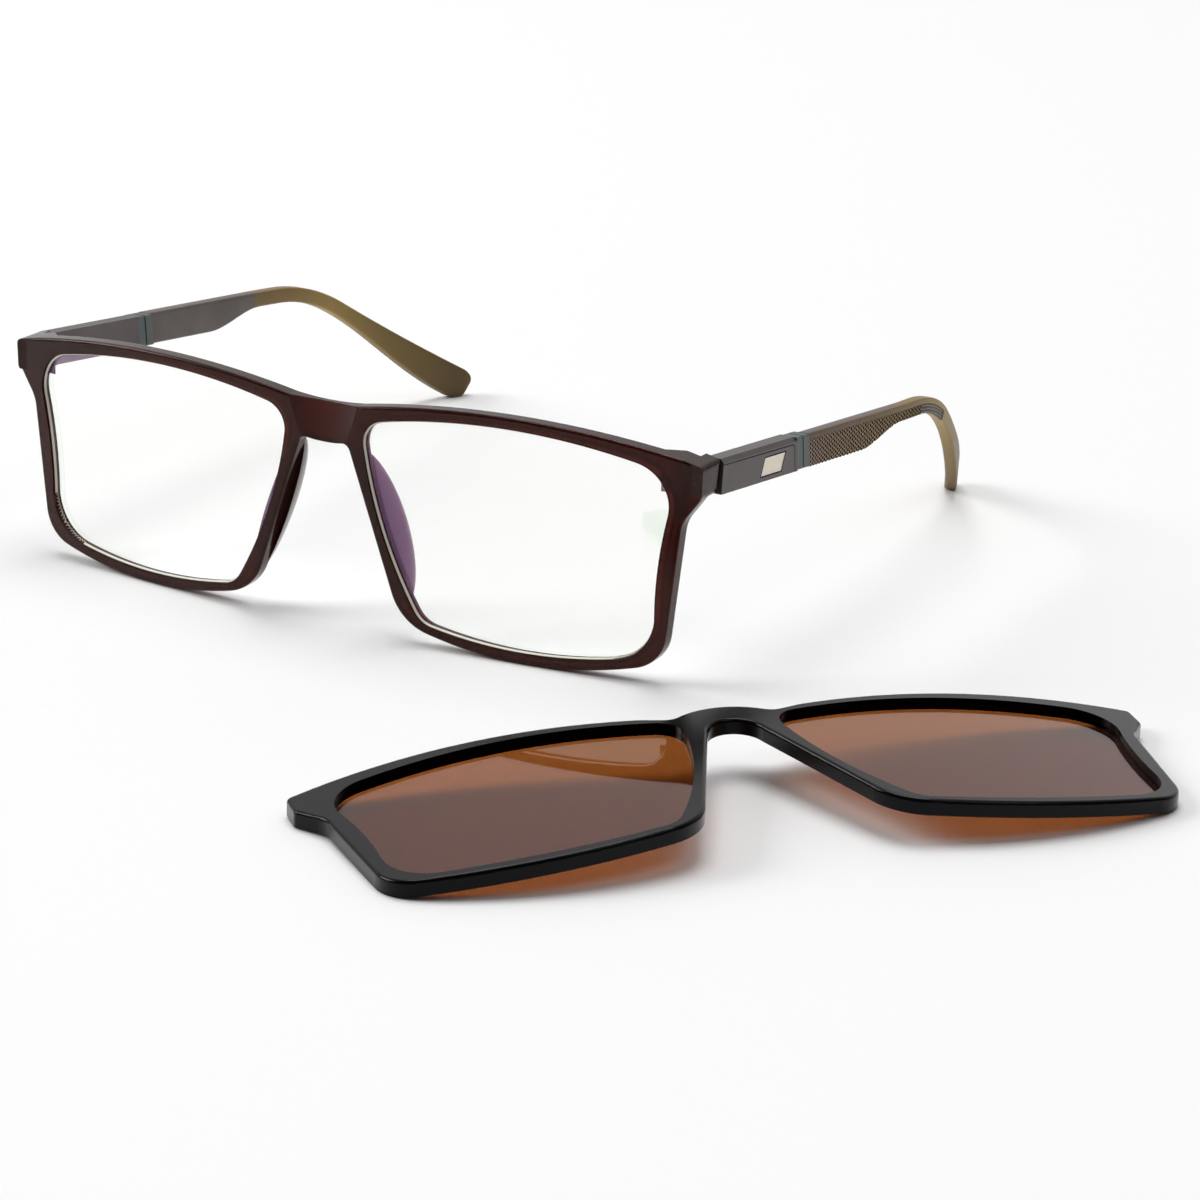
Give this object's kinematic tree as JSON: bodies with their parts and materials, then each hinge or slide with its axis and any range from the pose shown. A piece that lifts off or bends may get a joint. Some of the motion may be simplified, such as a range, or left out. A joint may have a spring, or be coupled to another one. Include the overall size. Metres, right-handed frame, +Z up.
{
  "type": "clip-on sun lenses with spectacle frame",
  "caption": "Rectangular full-rim spectacle frame with spring hinges, and its magnetic clip-on sun lenses lying in front of it.",
  "frame": {"origin": "middle of the set's box, on the surface it stands on", "axes": "+X to the wearer's left, +Y from the spectacle front back to the temple tips, +Z up"},
  "size_m": [0.2306, 0.2276, 0.0434],
  "materials": {
    "front_plastic": "satin translucent red-brown plastic",
    "clear_lens": "clear, anti-reflection coated",
    "magnet": "nickel plated",
    "hinge_metal": "machined",
    "spring_steel": "bright wire",
    "block_metal": "satin gunmetal",
    "inlay_metal": "brushed champagne",
    "band_rubber": "matte grey-green",
    "core_metal": "mill finish",
    "shell_plastic": "satin dark brown",
    "net_plastic": "fine hexagonal net, tan to olive",
    "sleeve_rubber": "soft matte olive gold",
    "clip_plastic": "satin brown-black",
    "tinted_lens": "polarised brown, mirror-like"
  },
  "bodies": {
    "front": {"front_frame": "front_plastic", "lens_left": "clear_lens", "lens_right": "clear_lens", "front_magnet_left": "magnet", "front_magnet_right": "magnet", "hinge_anchor_left": "hinge_metal", "hinge_anchor_right": "hinge_metal", "hinge_screw_left": "hinge_metal", "hinge_screw_right": "hinge_metal"},
    "carriage_left": {"hinge_carriage_left": "hinge_metal", "guide_pin_left": "hinge_metal"},
    "temple_left": {"temple_block_left": "block_metal", "inlay_plate_left": "inlay_metal", "front_band_left": "band_rubber", "rear_band_left": "band_rubber", "core_strip_left": "core_metal", "temple_shell_left": "shell_plastic", "net_panel_left": "net_plastic", "rubber_sleeve_left": "sleeve_rubber", "flex_spring_left": "spring_steel"},
    "carriage_right": {"hinge_carriage_right": "hinge_metal", "guide_pin_right": "hinge_metal"},
    "temple_right": {"temple_block_right": "block_metal", "inlay_plate_right": "inlay_metal", "front_band_right": "band_rubber", "rear_band_right": "band_rubber", "core_strip_right": "core_metal", "temple_shell_right": "shell_plastic", "net_panel_right": "net_plastic", "rubber_sleeve_right": "sleeve_rubber", "flex_spring_right": "spring_steel"},
    "clip_on": {"clip_frame": "clip_plastic", "clip_lens_left": "tinted_lens", "clip_lens_right": "tinted_lens", "clip_magnet_left": "magnet", "clip_magnet_right": "magnet"}
  },
  "joints": [
    {"name": "fold_left", "type": "hinge", "parent": "front", "child": "carriage_left", "pos_m": [0.02309, -0.00932, 0.03645], "axis": [0, 0.108, 0.9942], "range_deg": [0, 74]},
    {"name": "flex_left", "type": "slide", "parent": "carriage_left", "child": "temple_left", "axis": [0, 0.9942, -0.108], "range_m": [0, 0.0012], "stiffness_N_per_m": 400, "springref_m": -0.002},
    {"name": "fold_right", "type": "hinge", "parent": "front", "child": "carriage_right", "pos_m": [-0.11071, -0.00932, 0.03645], "axis": [0, -0.108, -0.9942], "range_deg": [0, 84]},
    {"name": "flex_right", "type": "slide", "parent": "carriage_right", "child": "temple_right", "axis": [0, 0.9942, -0.108], "range_m": [0, 0.0012], "stiffness_N_per_m": 400, "springref_m": -0.002},
    {"name": "clip_lift", "type": "slide", "parent": "front", "child": "clip_on", "axis": [0, 0, 1], "range_m": [0, 0.06]}
  ]
}
